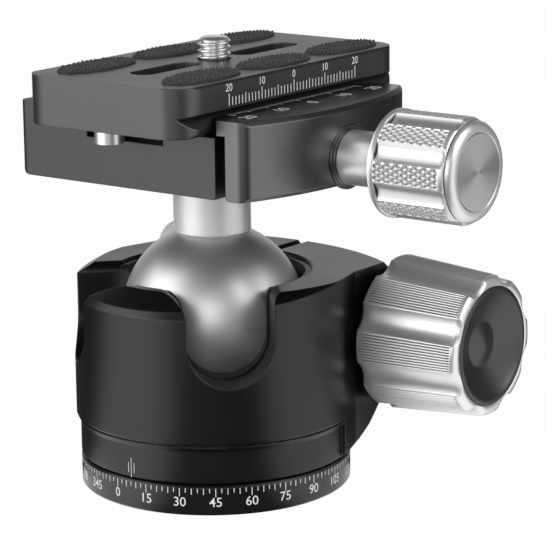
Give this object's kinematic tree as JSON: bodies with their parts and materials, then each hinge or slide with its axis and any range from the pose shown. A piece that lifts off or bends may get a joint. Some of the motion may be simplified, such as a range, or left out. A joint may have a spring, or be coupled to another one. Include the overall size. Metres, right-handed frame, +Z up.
{
  "type": "tripod ball head",
  "caption": "Tripod ball head with notched split housing, panning base, locking knobs, and a quick-release clamp with grooved camera plate.",
  "frame": {"origin": "centre of the base disc's underside, at the mouth of the tripod thread", "axes": "+Z up along the stem, -Y towards the side with the index mark, +X along the clamp knob and the main knob"},
  "size_m": [0.1004, 0.0746, 0.088],
  "materials": {
    "base_black": "satin",
    "body_black": "satin",
    "ball_grey": "satin",
    "stem_silver": "satin",
    "knob_silver": "satin",
    "steel": "satin",
    "spring_steel": "satin",
    "brass": "satin",
    "nylon": "matte",
    "liner": "matte",
    "ring_black": "matte",
    "dial_rubber": "matte",
    "pad_rubber": "matte"
  },
  "bodies": {
    "base": {"base_disc": "base_black", "pan_spindle": "steel", "thread_insert": "steel", "base_screws": "steel", "pan_washers": "nylon", "spindle_nut": "steel"},
    "housing": {"housing": "body_black", "seat_liner": "liner", "cup_springs": "spring_steel", "lock_nut": "steel"},
    "lock_ring": {"lock_washer": "ring_black"},
    "lock_knob": {"lock_screw": "steel", "main_knob": "knob_silver", "knob_grub_screw": "steel", "dial_spring": "spring_steel"},
    "dial": {"friction_dial": "dial_rubber", "dial_shaft": "steel"},
    "pan_slide": {"pan_washer": "nylon"},
    "pan_knob": {"pan_screw": "steel", "pan_knob": "knob_silver"},
    "brake": {"brake_rod": "steel", "brake_shoe": "brass"},
    "ball_cup": {"ball_cup": "nylon"},
    "ball": {"ball": "ball_grey"},
    "clamp": {"stem": "stem_silver", "clamp_bed": "body_black", "clamp_bolt": "steel", "bolt_washer": "steel", "guide_pins": "steel", "jaw_springs": "spring_steel", "jaw_screw": "steel"},
    "jaw": {"moving_jaw": "body_black", "jaw_washer": "steel"},
    "clamp_knob": {"clamp_knob": "knob_silver", "knob_bush": "brass", "knob_cap": "knob_silver"},
    "plate": {"camera_plate": "body_black", "grip_pads": "pad_rubber", "stop_screws": "steel", "screw_bush": "nylon"},
    "camera_screw": {"camera_screw": "stem_silver"}
  },
  "joints": [
    {"name": "pan_rotate", "type": "hinge", "parent": "base", "child": "housing", "pos_m": [0, 0, 0], "axis": [0, 0, 1], "continuous": true},
    {"name": "lock_travel", "type": "slide", "parent": "housing", "child": "lock_ring", "axis": [1, 0, 0], "range_m": [0, 0.001]},
    {"name": "lock_turn", "type": "hinge", "parent": "lock_ring", "child": "lock_knob", "pos_m": [0.038, 0.025, 0.0282], "axis": [1, 0, 0], "range_deg": [0, 360]},
    {"name": "friction_set", "type": "hinge", "parent": "lock_knob", "child": "dial", "pos_m": [0.048, 0.025, 0.0282], "axis": [1, 0, 0], "range_deg": [0, 270]},
    {"name": "pan_lock_travel", "type": "slide", "parent": "housing", "child": "pan_slide", "axis": [0.7193, -0.6947, 0], "range_m": [0, 0.0008]},
    {"name": "pan_lock_turn", "type": "hinge", "parent": "pan_slide", "child": "pan_knob", "pos_m": [-0.02877, 0.02779, 0.037], "axis": [0.7193, -0.6947, 0], "range_deg": [0, 360]},
    {"name": "brake_press", "type": "slide", "parent": "housing", "child": "brake", "axis": [0, 0, -1], "range_m": [0, 0.0003]},
    {"name": "ball_turn", "type": "hinge", "parent": "housing", "child": "ball_cup", "pos_m": [0, 0, 0.03345], "axis": [0, 0, 1], "range_deg": [-90, 0]},
    {"name": "ball_tilt", "type": "hinge", "parent": "ball_cup", "child": "ball", "pos_m": [0, 0, 0.03345], "axis": [0.7071, 0.7071, 0], "range_deg": [-20, 90]},
    {"name": "ball_spin", "type": "hinge", "parent": "ball", "child": "clamp", "pos_m": [0, 0, 0.03345], "axis": [0, 0, 1], "continuous": true},
    {"name": "jaw_open", "type": "slide", "parent": "clamp", "child": "jaw", "axis": [1, 0, 0], "range_m": [0, 0.005]},
    {"name": "clamp_turn", "type": "hinge", "parent": "jaw", "child": "clamp_knob", "pos_m": [0.05, 0, 0.0678], "axis": [1, 0, 0], "range_deg": [0, 1440]},
    {"name": "plate_slide", "type": "slide", "parent": "clamp", "child": "plate", "axis": [0, 1, 0], "range_m": [-0.012, 0.01]},
    {"name": "screw_turn", "type": "hinge", "parent": "plate", "child": "camera_screw", "pos_m": [0.0008, 0.0005, 0.08], "axis": [0, 0, 1], "continuous": true}
  ],
  "couplings": [
    {"joint": "lock_travel", "follows": "lock_turn", "m_per_rad": 0.00015915},
    {"joint": "pan_lock_travel", "follows": "pan_lock_turn", "m_per_rad": 0.00012732},
    {"joint": "brake_press", "follows": "pan_lock_turn", "m_per_rad": 0.000047746},
    {"joint": "jaw_open", "follows": "clamp_turn", "m_per_rad": 0.00019894}
  ]
}
